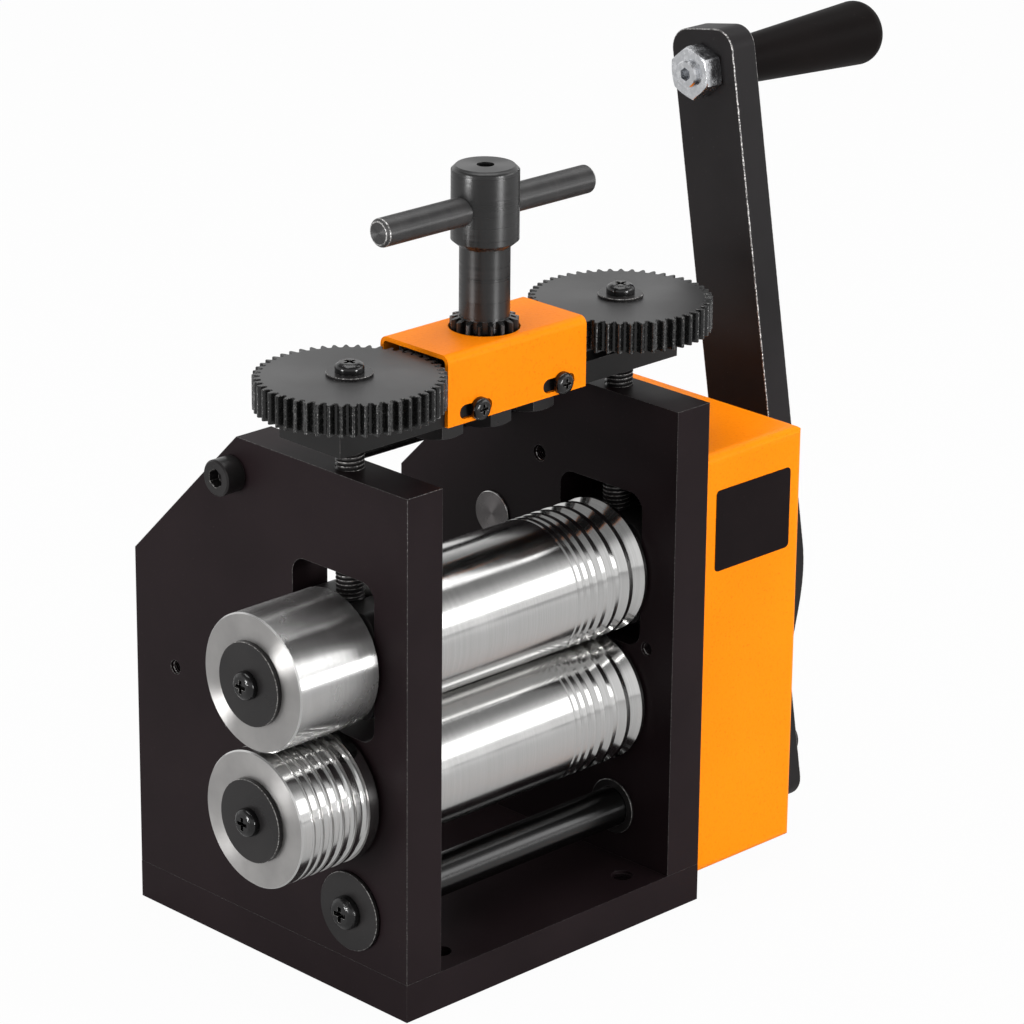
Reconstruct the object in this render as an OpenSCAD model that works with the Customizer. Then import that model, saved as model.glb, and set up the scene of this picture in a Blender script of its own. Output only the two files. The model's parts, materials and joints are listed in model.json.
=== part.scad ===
// Bench rolling mill for jewellers, in millimetres.
// The origin is the centre of the base plate's underside. The rolls lie along X, with the
// gear cover and crank at +X, the feeding side faces -Y, and +Z is up.

/* [Frame] */
// Width of the base plate along the rolls
base_w = 144; // [138:1:156]
// Depth of the base plate from front to back
base_d = 140; // [136:1:156]
// Thickness of the base plate
base_t = 14; // [12:0.5:18]
// Thickness of each side plate
plate_t = 16; // [14:0.5:18]
// Height of each side plate above the base plate
plate_h = 176; // [174:1:186]
// Legs of the sloped top rear corner of each side plate
plate_slope = 55; // [40:1:60]
// Distance of the bench holes from the base plate's side edges
bench_edge_x = 27; // [24:1:32]
// Distance of the bench holes from the base plate's front and rear edges
bench_edge_y = 12; // [10:0.5:20]
// Diameter of the bench holes
bench_hole_d = 8; // [6:0.5:10]
// Distance of the cap screws under each side plate from its front and rear edges
frame_screw_edge = 10; // [9:0.5:11]
// Diameter of the cap screws that hold the side plates and the tie rod
frame_screw_d = 8; // [6:0.5:8]
// Diameter of the rear tie rod
tie_rod_d = 17; // [14:0.5:20]
// Distance of the tie rod's axis from the rear edge
tie_rod_edge = 53.3; // [50:0.1:60]
// Distance of the tie rod's axis below the top of the side plates
tie_rod_down = 13.6; // [12:0.2:16]
// Diameter of the spare tapped holes in the side plates
guide_hole_d = 5; // [4:0.5:6]
// Distance of the near plate's spare hole from the rear edge
near_guide_edge = 21; // [15:1:40]
// Height of the near plate's spare hole above the bench
near_guide_h = 95.5; // [60:0.5:110]
// Distance of the far plate's spare hole from the front edge
far_guide_back = 12.7; // [10:0.1:13]
// Height of the far plate's spare hole above the bench
far_guide_h = 98.3; // [90:0.1:110]

/* [Rolls] */
// Distance of the roll axes from the front edge
roll_back = 36.5; // [35:0.5:40]
// Height of the lower roll's axis above the bench
lower_roll_h = 75; // [73:0.5:78]
// Diameter of the rolls
roll_d = 49; // [47:0.5:51]
// Gap between the rolls at rest
roll_gap = 0.5; // [0.45:0.05:1]
// Diameter of the roll journals
journal_d = 22; // [21:0.5:23]
// Diameter of the stub ends that carry the side rolls and gears
stub_d = 20; // [16:0.5:20.5]
// Length of the plain part of each main roll
flat_len = 76; // [60:1:80]
// Length of the side rolls outside the near plate
side_roll_len = 35; // [30:1:40]
// Diameter of the side rolls
side_roll_d = 48.5; // [46:0.5:50]
// Widths of the square wire grooves, cut as right-angled vees
square_grooves = [1, 1.5, 2, 3, 4, 5, 6];
// Widths of the half-round wire grooves in the lower side roll
round_grooves = [1.5, 2, 2.5, 3, 3.5, 4];
// Width of the plain band at the outer end of the lower side roll
side_band = 4.5; // [3:0.5:6]
// Diameter of the washers that hold the side rolls
side_washer_d = 29.5; // [26:0.5:34]

/* [Bearings] */
// Width of the window in each side plate
window_w = 40.5; // [38:0.5:44]
// Height of the upper bearing blocks
block_h = 38; // [38:0.5:40]
// Room above the blocks for the rolls to open
window_rise = 11.5; // [9:0.5:12]
// Room below the blocks
window_drop = 8; // [6:0.5:9]
// Radius of the window corners
window_r = 6; // [4:0.5:8]
// Outer diameter of the roll bushes
roll_bush_d = 26.5; // [25:0.5:26.5]
// Diameter of the drive shaft
drive_d = 14.5; // [13:0.5:16]
// Outer diameter of the drive shaft bushes
drive_bush_d = 18.5; // [18.5:0.5:19.5]
// Diameter of the flange of the drive shaft bushes
drive_flange_d = 20.5; // [20.5:0.5:26]

/* [Adjusting gear] */
// Teeth on each adjusting gear
adjust_teeth = 50; // [44:1:54]
// Teeth on each idler gear
idler_teeth = 18; // [17:1:20]
// Teeth cut on the handle spindle
spindle_teeth = 17; // [16:1:19]
// Thickness of the adjusting gears
adjust_t = 11; // [9:0.5:12]
// Diameter of the adjusting screws
adjust_screw_d = 10; // [9:0.5:11]
// Height of the cross plate's underside above the side plates at rest
bridge_lift = 9.6; // [9:0.2:12]
// Thickness of the cross plate
bridge_t = 8; // [7:0.5:10]
// Depth of the cross plate from front to back
bridge_d = 30; // [28:0.5:32]
// How far the cross plate reaches past the side plates at each end
bridge_reach = 8; // [5:0.5:12]
// How far the handle stands behind the roll axes
handle_back = 2.25; // [1.5:0.25:3]

/* [Handle and bracket] */
// Width of the handle bracket along the rolls
bracket_w = 65.5; // [60:0.5:68]
// Sheet thickness of the handle bracket
bracket_t = 1.6; // [1.2:0.1:2]
// Bend radius of the handle bracket
bracket_r = 3; // [2.5:0.5:4]
// Length of the slots in the handle bracket
slot_len = 15; // [13:0.5:17]
// Height of the slots in the handle bracket
slot_h = 5; // [4.6:0.2:6]
// Spacing of the slots in the handle bracket
slot_gap = 39.4; // [38:0.2:40]
// Diameter of the handle shaft
shaft_d = 17.5; // [15:0.5:18]
// Diameter of the handle head
head_d = 23.4; // [22:0.2:25]
// Height of the handle head
head_h = 25.7; // [22:0.1:30]
// Length of plain shaft between the teeth and the head
shaft_len = 27; // [20:0.5:36]
// Diameter of the cross bar
bar_d = 10; // [8:0.5:12]
// Length of the cross bar
bar_len = 98; // [80:1:120]
// Drop of the cross bar's axis below the top of the head
bar_down = 14.3; // [12:0.1:15]

/* [Gear cover] */
// Width of the gear cover, out from the far plate
cover_w = 51; // [48:0.5:56]
// Depth of the gear cover
cover_d = 104.5; // [104:0.5:110]
// Distance of the cover's front from the base's front edge
cover_back = 0.5; // [0.5:0.5:2]
// Height of the cover's lower edge above the bench
cover_low = 9; // [7:0.5:14]
// Height of the cover's top above the bench
cover_top = 169.6; // [165:0.2:169.6]
// Sheet thickness of the gear cover
cover_t = 1.5; // [1:0.1:2]
// Corner radius of the gear cover
cover_r = 4; // [3:0.5:6]
// Diameter of the large cover post seen through the far plate
post_d = 17; // [14:0.5:18]
// Distance of the large cover post from the base's front edge
post_back = 91; // [86:1:94]
// Height of the large cover post above the bench
post_h = 128.5; // [120:0.5:140]
// Diameter of the two smaller cover posts
pillar_d = 12; // [10:0.5:14]
// Distances of the smaller cover posts from the base's front edge
pillar_backs = [67.5, 88.5];
// Heights of the smaller cover posts above the bench
pillar_heights = [157.8, 32];
// Module of the drive gears
drive_module = 1.75; // [1.7:0.01:1.8]
// Teeth on the drive pinion
pinion_teeth = 14; // [13:1:16]
// Teeth on the main gear
main_teeth = 35; // [33:1:36]
// Teeth on each coupling gear
coupling_teeth = 10; // [10:1:11]
// Face width of the coupling gears
coupling_w = 18; // [14:0.5:19]
// Face width of the main gear
main_w = 12; // [10:0.5:13]
// How far the drive shaft lies in front of the roll axes
drive_forward = 9; // [7:0.5:10]

/* [Crank] */
// Distance from the drive shaft to the grip
crank_r = 254; // [200:1:300]
// Lean of the crank at rest, back from upright
crank_lean = 9.7; // [0:0.1:20]
// Width of the crank arm
arm_w = 30; // [26:0.5:34]
// Thickness of the crank arm
arm_t = 12; // [10:0.5:14]
// How far the upper arm stands outside the lower arm
arm_set = 13.5; // [10:0.5:18]
// Where the bend in the arm starts, measured from the drive shaft
bend_from = 28; // [26:1:36]
// Length of the bend in the arm
bend_len = 48; // [40:1:60]
// Gap between the gear cover and the crank arm
arm_gap = 4; // [3:0.5:8]
// Corner radius of the arm's ends
arm_r = 8; // [5:0.5:12]
// Length of the grip
grip_len = 75; // [65:1:100]
// Diameter of the grip at the arm
grip_d0 = 16.5; // [15:0.5:20]
// Largest diameter of the grip
grip_d1 = 24; // [22:0.5:30]
// Diameter of the grip's stud
stud_d = 10; // [9:0.5:10]

/* [Hidden] */
$fn = 96;

// Clearances: a running fit, a fixed fit, a sliding fit and the end play of what turns
run_gap = 0.05;
fix_gap = 0.02;
slide_gap = 0.1;
end_play = 0.5;
turn_play = 0.3;
// Overrun of every cut
over = 1;

// Planes and axes of the frame
x_out = base_w / 2;
x_in = x_out - plate_t;
x_mid = x_out - plate_t / 2;
front_y = -base_d / 2;
top_z = base_t + plate_h;
roll_y = front_y + roll_back;
low_z = lower_roll_h;
up_z = low_z + roll_d + roll_gap;
tie_y = -front_y - tie_rod_edge;
frame_screw_y = -front_y - frame_screw_edge;
tie_z = top_z - tie_rod_down;
window_low = up_z - block_h / 2 - window_drop;
window_high = up_z + block_h / 2 + window_rise;

// Cap screws of the frame
cap_head_d = 1.625 * frame_screw_d;
cap_head_h = frame_screw_d;
cap_clear = 0.2;
bolt_grip = 22;
tie_grip = 20;

// Pan head screws: head width and height and recess as shares of the thread
pan_head_share = 2;
pan_height_share = 0.7;
pan_arm_share = 0.95;
pan_blade_share = 0.26;
pan_depth_share = 0.45;

// Side rolls and their fastenings
shaft_proud = 1;
stub_flat = 0.85 * stub_d;
washer_t = 2;
side_screw_d = 5;
side_screw_len = 12;
side_end = x_out + shaft_proud + side_roll_len;
chamfer = 0.5;

// Upper bearing blocks and the captive ends of the adjusting screws
block_w = window_w - 2 * slide_gap;
button_d = 14;
button_h = 2.4;
neck_d = 8;
lip_t = 2.4;
button_room = 0.3;
block_top = up_z + block_h / 2;
button_low = block_top - lip_t - turn_play / 2 - button_h;
thread_low = block_top + turn_play;

// Bridge: cross plate, gears and bracket
bridge_low = top_z + bridge_lift;
bridge_high = bridge_low + bridge_t;
handle_y = roll_y + handle_back;
boss_d = 20;
boss_h = 3.2;
gear_low = bridge_high + turn_play + boss_h;
gear_high = gear_low + adjust_t;
bracket_room = 1;
bracket_high = gear_high + bracket_room + bracket_t;
seat_d = 8;
seat_flat = 0.8 * seat_d;
gear_washer_d = 16;
gear_washer_t = 1.2;
gear_screw_d = 5;
gear_screw_len = 10;
nut_h = 8.4;
nut_gap = 2.04;
nut_thread_share = 10 / 17;
pin_flange_d = 16;
spindle_journal_d = 12;
bracket_hole_gap = 0.5;
bracket_screw_d = 4;
bracket_screw_len = 8;
screw_shift = 1.3;

// Adjusting train: the module follows from the distance of screw and handle
fold_share = 1.002;
screw_to_handle = norm([x_mid, handle_back]);
train_teeth = adjust_teeth / 2 + idler_teeth + spindle_teeth / 2;
adjust_module = fold_share * screw_to_handle / train_teeth;
adjust_backlash = 0.16;
reach_a = adjust_module * (adjust_teeth + idler_teeth) / 2;
reach_b = adjust_module * (idler_teeth + spindle_teeth) / 2;
fold_along = (reach_a * reach_a - reach_b * reach_b + screw_to_handle * screw_to_handle)
    / (2 * screw_to_handle);
fold_off = sqrt(max(0, reach_a * reach_a - fold_along * fold_along));
idler_x = x_mid - (fold_along * x_mid + fold_off * handle_back) / screw_to_handle;
idler_y = roll_y + (fold_along * handle_back + fold_off * x_mid) / screw_to_handle;
// Nuts under the cross plate, as wide as leaves the gap between their corners, and the
// pins that they hold
nut_af = (norm([idler_x, idler_y - handle_y]) - nut_gap) * cos(30);
idler_pin_d = nut_thread_share * nut_af;

// Handle
spindle_tip_d = adjust_module * (spindle_teeth + 2);
teeth_proud = 4;
teeth_high = bracket_high + teeth_proud;
neck_cone = 2.5;
head_low = teeth_high + shaft_len;
head_high = head_low + head_h;
bar_z = head_high - bar_down;
head_bevel = 1.6;
bar_bevel = 1;
set_screw_d = 6;
set_screw_len = 7;

// Drive gears inside the cover
drive_reach = drive_module * (pinion_teeth + main_teeth) / 2;
drive_y = roll_y - drive_forward;
drive_z = low_z - sqrt(max(0, drive_reach * drive_reach - drive_forward * drive_forward));
drive_backlash = 0.2;
coupling_module = (roll_d + roll_gap) / coupling_teeth;
coupling_backlash = 0.9;
coupling_low = x_out + 2 * shaft_proud;
coupling_high = coupling_low + coupling_w;
main_low = coupling_high + shaft_proud;
main_high = main_low + main_w;
pinion_over = 0.5;
pinion_low = main_low - pinion_over;
pinion_high = main_high + pinion_over;
pinion_flat = 0.85 * drive_d;
gear_end_washer_d = 28;
gear_end_washer_t = 2.5;
gear_end_screw_d = 8;
gear_end_screw_len = 16;
drive_collar_d = 18;
drive_washer_d = 28.5;
drive_washer_t = 1.5;
drive_screw_d = 6;
drive_screw_len = 12;
flange_t = 1;

// Gear cover
cover_x1 = x_out + cover_w;
cover_y0 = front_y + cover_back;
cover_y1 = cover_y0 + cover_d;
cover_hole_gap = 1;
pillar_tenon = 6;
pillar_screw_d = 5;
pillar_screw_len = 10;
post_tenon_proud = 0.8;
post_bevel = cover_r - cover_t;
pillar_spots = [for (i = [0 : len(pillar_backs) - 1])
    [front_y + pillar_backs[i], pillar_heights[i]]];
post_spot = [front_y + post_back, post_h];

// Crank and grip
arm_x0 = cover_x1 + arm_gap;
arm_x1 = arm_x0 + arm_set;
arm_tip = 15;
hub_tip = 18.5;
bend_steps = 24;
crank_washer_d = 22;
crank_washer_t = 2;
crank_screw_d = 8;
crank_screw_len = 18;
stud_out = 2;
stud_collar_d = 15;
stud_collar_t = 1.2;
spindle_d = 8;
spindle_head_d = 12;
spindle_head_t = 4;
grip_wall = 6;
grip_dome = 7;
grip_hole_gap = 0.1;
grip_room = 0.5;
crank_nut_h = 8;
crank_nut_af = 17;

// A flat outline in Y and Z, drawn out along X from x0
module along_x(x0, len) {
    translate([x0, 0, 0]) rotate([90, 0, 90]) linear_extrude(len) children();
}

// A round bar along X
module rod_x(x0, len, d, y, z) {
    translate([x0, y, z]) rotate([0, 90, 0]) cylinder(h = len, d = d);
}

// A round bar along Z
module rod_z(z0, len, d, x, y) {
    translate([x, y, z0]) cylinder(h = len, d = d);
}

// A revolved outline whose radii and stations run along +X from a point on the axis
module turned_x(outline, y, z) {
    translate([0, y, z]) rotate([0, 90, 0]) rotate_extrude()
        polygon([for (p = outline) [p[1], p[0]]]);
}

// A rectangle with round corners, centred
module soft_rect(w, h, r) {
    square([w - 2 * r, h], center = true);
    square([w, h - 2 * r], center = true);
    for (i = [-1, 1], j = [-1, 1])
        translate([i * (w / 2 - r), j * (h / 2 - r)]) circle(r = r);
}

// A slot with round ends, centred
module slot_shape(w, h) {
    square([w - h, h], center = true);
    for (i = [-1, 1]) translate([i * (w - h) / 2, 0]) circle(d = h);
}

// A round with two opposite flats
module two_flats(d, flat) {
    intersection() {
        circle(d = d);
        square([2 * d, flat], center = true);
    }
}

// A hexagonal prism along Z, measured across its flats, with both faces turned round
module hex_z(af, h) {
    intersection() {
        cylinder(h = h, d = af / cos(30), $fn = 6);
        rotate_extrude() polygon([
            [0, 0], [af / 2, 0], [af / 2 / cos(30), (af / 2 / cos(30) - af / 2) / 2],
            [af / 2 / cos(30), h - (af / 2 / cos(30) - af / 2) / 2], [af / 2, h], [0, h]
        ]);
    }
}

// Cap screw along +X: its head lies below zero and its shank above
module cap_screw(d, len) {
    rotate([0, 90, 0]) difference() {
        union() {
            cylinder(h = len, d = d);
            translate([0, 0, -d]) rotate_extrude() polygon([
                [0, 0], [0.74 * d, 0], [0.81 * d, 0.07 * d], [0.81 * d, d], [0, d]
            ]);
        }
        translate([0, 0, -d - over]) cylinder(h = over + d / 2, d = 0.86 * d, $fn = 6);
    }
}

// Pan head screw along +X with a cross recess: its head lies below zero
module pan_screw(d, len) {
    head_r = pan_head_share * d / 2;
    head_t = pan_height_share * d;
    rotate([0, 90, 0]) difference() {
        union() {
            cylinder(h = len, d = d);
            rotate_extrude() polygon([
                [0, 0], [head_r, 0], [head_r, -0.45 * head_t], [0.9 * head_r, -0.78 * head_t],
                [0.62 * head_r, -head_t], [0, -head_t]
            ]);
        }
        for (a = [0, 90]) rotate([0, 0, a])
            translate([-pan_arm_share * d / 2, -pan_blade_share * d / 2, -head_t - over])
                cube([pan_arm_share * d, pan_blade_share * d, over + pan_depth_share * d]);
    }
}

// Involute of an angle, in degrees
function inv(a) = tan(a) * 180 / PI - a;

// Half the angle of a tooth at radius r, with the flanks drawn in below the base circle
function tooth_half(z, m, play, r) =
    let (
        rp = m * z / 2,
        rb = rp * cos(20),
        half = 90 / z - play / (2 * rp) * 180 / PI + inv(20)
    )
    r > rb ? half - inv(acos(rb / r)) : half - undercut_share * (rb - r) / rp * 180 / PI;

// Outline of a gear of z teeth, with the middle of a tooth at the angle phase
function gear_points(z, m, play, phase, flank_shares) =
    let (radii = [for (k = flank_shares) m * z / 2 + k * m])
    [for (i = [0 : z - 1]) each concat(
        [for (r = radii) let (a = phase + i * 360 / z - tooth_half(z, m, play, r))
            r * [cos(a), sin(a)]],
        [for (j = [len(radii) - 1 : -1 : 0])
            let (r = radii[j], a = phase + i * 360 / z + tooth_half(z, m, play, r))
            r * [cos(a), sin(a)]]
    )];

// How much the flanks draw in below the base circle
undercut_share = 0.2;

// Points of a tooth's flank, as shares of the module from the pitch circle
fine_shares = [-1.25, -0.7, -0.1, 0.5, 1];
coarse_shares = [-1.22, -0.3, 0.4, 1];

// Phase of a gear that meshes with one of z teeth and phase p, lying at the angle toward
function mesh_phase(z, p, toward, zn) =
    let (t = (toward - p) * z / 360, u = 0.5 - (t - floor(t)))
    toward + 180 - u * 360 / zn;

spindle_phase = 90;
function idler_phase(side) = mesh_phase(spindle_teeth, spindle_phase,
    atan2(idler_y - handle_y, side * idler_x), idler_teeth);
function adjust_phase(side) = mesh_phase(idler_teeth, idler_phase(side),
    atan2(roll_y - idler_y, side * (x_mid - idler_x)), adjust_teeth);
pinion_phase = 0;
main_from_pinion = atan2(low_z - drive_z, roll_y - drive_y);
main_phase = mesh_phase(pinion_teeth, pinion_phase, main_from_pinion, main_teeth);
lower_coupling_phase = 90;
upper_coupling_phase = mesh_phase(coupling_teeth, lower_coupling_phase, 90, coupling_teeth);

// Side plates
module plate_outline() {
    polygon([
        [front_y, base_t], [-front_y, base_t], [-front_y, top_z - plate_slope],
        [-front_y - plate_slope, top_z], [front_y, top_z]
    ]);
}

module plate_body(x0, adjust_x) {
    difference() {
        along_x(x0, plate_t) plate_outline();
        along_x(x0 - over, plate_t + 2 * over)
            translate([roll_y, (window_low + window_high) / 2])
                soft_rect(window_w, window_high - window_low, window_r);
        rod_x(x0 - over, plate_t + 2 * over, roll_bush_d + 2 * fix_gap, roll_y, low_z);
        rod_x(x0 - over, plate_t + 2 * over, drive_bush_d + 2 * fix_gap, drive_y, drive_z);
        rod_x(x0 - over, plate_t + 2 * over, frame_screw_d + 2 * cap_clear, tie_y, tie_z);
        rod_z(window_high - over, top_z - window_high + 2 * over,
            adjust_screw_d + 2 * run_gap, adjust_x, roll_y);
        for (s = [-1, 1])
            rod_z(base_t - over, bolt_grip + 2 * over, frame_screw_d + 2 * fix_gap,
                adjust_x, s * frame_screw_y);
    }
}

module near_side_plate() {
    color([0.13, 0.12, 0.12]) difference() {
        plate_body(-x_out, -x_mid);
        rod_x(-x_out - over, plate_t + 2 * over, guide_hole_d,
            -front_y - near_guide_edge, near_guide_h);
    }
}

module far_side_plate() {
    color([0.13, 0.12, 0.12]) difference() {
        plate_body(x_in, x_mid);
        for (p = pillar_spots)
            rod_x(x_in - over, plate_t + 2 * over, pillar_tenon + 2 * fix_gap, p[0], p[1]);
        rod_x(x_in - over, plate_t + 2 * over, post_d + 2 * fix_gap,
            post_spot[0], post_spot[1]);
        rod_x(x_in - over, plate_t + 2 * over, guide_hole_d,
            front_y + far_guide_back, far_guide_h);
    }
}

module base_plate() {
    color([0.13, 0.12, 0.12]) difference() {
        translate([-base_w / 2, -base_d / 2, 0]) cube([base_w, base_d, base_t]);
        for (i = [-1, 1], j = [-1, 1]) {
            rod_z(-over, base_t + 2 * over, bench_hole_d,
                i * (x_out - bench_edge_x), j * (front_y + bench_edge_y));
            rod_z(-over, base_t + 2 * over, frame_screw_d + 2 * cap_clear,
                i * x_mid, j * frame_screw_y);
            rod_z(-over, cap_head_h + cap_clear + over, cap_head_d + 4 * cap_clear,
                i * x_mid, j * frame_screw_y);
        }
    }
}

module plate_bolts() {
    color([0.2, 0.2, 0.21])
        for (i = [-1, 1], j = [-1, 1])
            translate([i * x_mid, j * frame_screw_y, cap_head_h + cap_clear])
                rotate([0, -90, 0])
                    cap_screw(frame_screw_d, base_t - cap_head_h - cap_clear + bolt_grip);
}

module tie_rod() {
    color([0.16, 0.15, 0.15]) difference() {
        rod_x(-x_in, 2 * x_in, tie_rod_d, tie_y, tie_z);
        for (s = [-1, 1])
            rod_x(s > 0 ? x_in - tie_grip : -x_in - over, tie_grip + over,
                frame_screw_d + 2 * fix_gap, tie_y, tie_z);
    }
}

module tie_rod_screws() {
    color([0.1, 0.1, 0.11])
        for (s = [-1, 1])
            translate([s * x_out, tie_y, tie_z]) rotate([0, 0, s < 0 ? 0 : 180])
                cap_screw(frame_screw_d, plate_t + tie_grip - over);
}

// Plain bush of a roll journal, seated in a plate or a block
module roll_bush(x0, z) {
    color([0.72, 0.56, 0.3]) along_x(x0, plate_t) translate([roll_y, z]) difference() {
        circle(d = roll_bush_d);
        circle(d = journal_d + 2 * run_gap);
    }
}

module near_lower_bush() { roll_bush(-x_out, low_z); }

module far_lower_bush() { roll_bush(x_in, low_z); }

module near_upper_bush() { roll_bush(-x_out, up_z); }

module far_upper_bush() { roll_bush(x_in, up_z); }

// Flanged bushes of the drive shaft, with their flanges inside the frame
module drive_bushes() {
    color([0.3, 0.28, 0.25])
        for (s = [-1, 1]) difference() {
            union() {
                rod_x(s > 0 ? x_in : -x_out, plate_t, drive_bush_d, drive_y, drive_z);
                rod_x(s > 0 ? x_in - flange_t : -x_in, flange_t, drive_flange_d,
                    drive_y, drive_z);
            }
            rod_x(s > 0 ? x_in - flange_t - over : -x_out - over,
                plate_t + flange_t + 2 * over, drive_d + 2 * run_gap, drive_y, drive_z);
        }
}

// A prism with round edges all round, from the low corner to the high corner
module soft_box(lo, hi, r) {
    size = hi - lo;
    translate((lo + hi) / 2) intersection() {
        translate([0, 0, -size[2] / 2]) linear_extrude(size[2]) soft_rect(size[0], size[1], r);
        translate([-size[0] / 2, 0, 0]) rotate([90, 0, 90]) linear_extrude(size[0])
            soft_rect(size[1], size[2], r);
        translate([0, size[1] / 2, 0]) rotate([90, 0, 0]) linear_extrude(size[1])
            soft_rect(size[0], size[2], r);
    }
}

module gear_cover() {
    lo = [x_out - 2 * cover_r, cover_y0, cover_low];
    hi = [cover_x1, cover_y1, cover_top];
    wall = [cover_t, cover_t, cover_t];
    color([1, 0.55, 0.08]) difference() {
        intersection() {
            soft_box(lo, hi, cover_r);
            translate([x_out, front_y, 0]) cube([cover_w, base_d, top_z]);
        }
        soft_box([lo[0] - over, lo[1], lo[2]] + wall, hi - wall, cover_r - cover_t);
        rod_x(cover_x1 - 2 * cover_t, 4 * cover_t, drive_collar_d + 2 * cover_hole_gap,
            drive_y, drive_z);
        for (p = concat(pillar_spots, [post_spot]))
            rod_x(cover_x1 - 2 * cover_t, 4 * cover_t, pillar_screw_d + 2 * cap_clear,
                p[0], p[1]);
    }
}

// Posts between the far plate and the cover; the large one shows inside the frame
module cover_posts() {
    post_x1 = cover_x1 - cover_t;
    color([0.35, 0.35, 0.36]) {
        for (p = pillar_spots) difference() {
            union() {
                rod_x(x_out, post_x1 - x_out, pillar_d, p[0], p[1]);
                rod_x(x_out - plate_t / 2, plate_t, pillar_tenon, p[0], p[1]);
            }
            rod_x(post_x1 - pillar_screw_len - over, pillar_screw_len + 2 * over,
                pillar_screw_d + 2 * fix_gap, p[0], p[1]);
        }
        difference() {
            turned_x([
                [x_in - post_tenon_proud, 0], [x_in - post_tenon_proud, post_d / 2],
                [post_x1 - post_bevel, post_d / 2], [post_x1, post_d / 2 - post_bevel],
                [post_x1, 0]
            ], post_spot[0], post_spot[1]);
            rod_x(post_x1 - pillar_screw_len - over, pillar_screw_len + 2 * over,
                pillar_screw_d + 2 * fix_gap, post_spot[0], post_spot[1]);
        }
    }
}

module cover_screws() {
    color([0.12, 0.12, 0.12])
        for (p = concat(pillar_spots, [post_spot]))
            translate([cover_x1, p[0], p[1]]) rotate([0, 0, 180])
                pan_screw(pillar_screw_d, pillar_screw_len);
}

// Cross plate that joins the adjusting screws and carries the handle
module cross_plate() {
    color([0.12, 0.11, 0.11]) difference() {
        translate([-x_out - bridge_reach, handle_y - bridge_d / 2, bridge_low])
            cube([2 * (x_out + bridge_reach), bridge_d, bridge_t]);
        for (s = [-1, 1]) {
            rod_z(bridge_low - over, bridge_t + 2 * over, seat_d + 2 * run_gap,
                s * x_mid, roll_y);
            rod_z(bridge_low - over, bridge_t + 2 * over, idler_pin_d + 2 * fix_gap,
                s * idler_x, idler_y);
            for (t = [-1, 1])
                translate([s * slot_gap / 2 + screw_shift, handle_y + t * bridge_d / 2,
                        bridge_low + bridge_t / 2])
                    rotate([90, 0, 0]) cylinder(h = 2 * bracket_screw_len,
                        d = bracket_screw_d + 2 * fix_gap, center = true);
        }
        rod_z(bridge_low - over, bridge_t + 2 * over, spindle_journal_d + 2 * run_gap,
            0, handle_y);
    }
}

// Sheet bracket over the cross plate, a U that stands upside down
module handle_bracket() {
    half = bridge_d / 2 + fix_gap;
    outer = half + bracket_t;
    rise = bracket_high - bridge_low;
    color([1, 0.5, 0.12]) difference() {
        translate([0, handle_y, bridge_low]) along_x(-bracket_w / 2, bracket_w) difference() {
            intersection() {
                translate([-outer, 0]) square([2 * outer, rise]);
                soft_rect(2 * outer, 2 * rise, bracket_r);
            }
            soft_rect(2 * half, 2 * (rise - bracket_t), bracket_r - bracket_t);
        }
        rod_z(bracket_high - 2 * bracket_t, 4 * bracket_t, spindle_tip_d + 2 * bracket_hole_gap,
            0, handle_y);
        for (s = [-1, 1])
            translate([s * slot_gap / 2, handle_y + outer + over,
                    bridge_low + bridge_t / 2])
                rotate([90, 0, 0]) linear_extrude(2 * (outer + over))
                    slot_shape(slot_len, slot_h);
    }
}

module bracket_screws() {
    outer = bridge_d / 2 + fix_gap + bracket_t;
    color([0.12, 0.12, 0.13])
        for (s = [-1, 1], t = [-1, 1])
            translate([s * slot_gap / 2 + screw_shift, handle_y + t * outer,
                    bridge_low + bridge_t / 2])
                rotate([0, 0, t < 0 ? 90 : -90])
                    pan_screw(bracket_screw_d, bracket_screw_len + bracket_t - over);
}

// Pins that the idler gears turn on
module idler_pins() {
    color([0.45, 0.45, 0.46])
        for (s = [-1, 1]) {
            rod_z(bridge_low - nut_h - over, gear_high - bridge_low + nut_h + over,
                idler_pin_d, s * idler_x, idler_y);
            rod_z(bridge_high, gear_low - turn_play - bridge_high, pin_flange_d,
                s * idler_x, idler_y);
        }
}

// A hexagon nut under the cross plate
module plate_nut(x, y, drop) {
    translate([x, y, bridge_low - drop - nut_h]) difference() {
        hex_z(nut_af, nut_h);
        translate([0, 0, -over]) cylinder(h = nut_h + 2 * over, d = idler_pin_d + 2 * fix_gap);
    }
}

module idler_nuts() {
    color([0.2, 0.2, 0.21]) for (s = [-1, 1]) plate_nut(s * idler_x, idler_y, 0);
}

module spindle_nut() {
    color([0.2, 0.2, 0.21]) plate_nut(0, handle_y, turn_play);
}

module idler_gear(side) {
    color([0.3, 0.3, 0.31]) translate([side * idler_x, idler_y, gear_low])
        linear_extrude(adjust_t) difference() {
            polygon(gear_points(idler_teeth, adjust_module, adjust_backlash,
                idler_phase(side), fine_shares));
            circle(d = idler_pin_d + 2 * run_gap);
        }
}

module near_idler_gear() { idler_gear(-1); }

module far_idler_gear() { idler_gear(1); }

// Large gear on the top of an adjusting screw
module adjusting_gear(side) {
    color([0.15, 0.14, 0.14]) translate([side * x_mid, roll_y, 0]) difference() {
        union() {
            translate([0, 0, gear_low]) linear_extrude(adjust_t)
                polygon(gear_points(adjust_teeth, adjust_module, adjust_backlash,
                    adjust_phase(side), coarse_shares));
            translate([0, 0, gear_low - boss_h]) cylinder(h = boss_h + chamfer, d = boss_d);
        }
        translate([0, 0, gear_low - boss_h - over])
            linear_extrude(adjust_t + boss_h + 2 * over)
                two_flats(seat_d + 2 * fix_gap, seat_flat + 2 * fix_gap);
    }
}

module near_adjusting_gear() { adjusting_gear(-1); }

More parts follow.
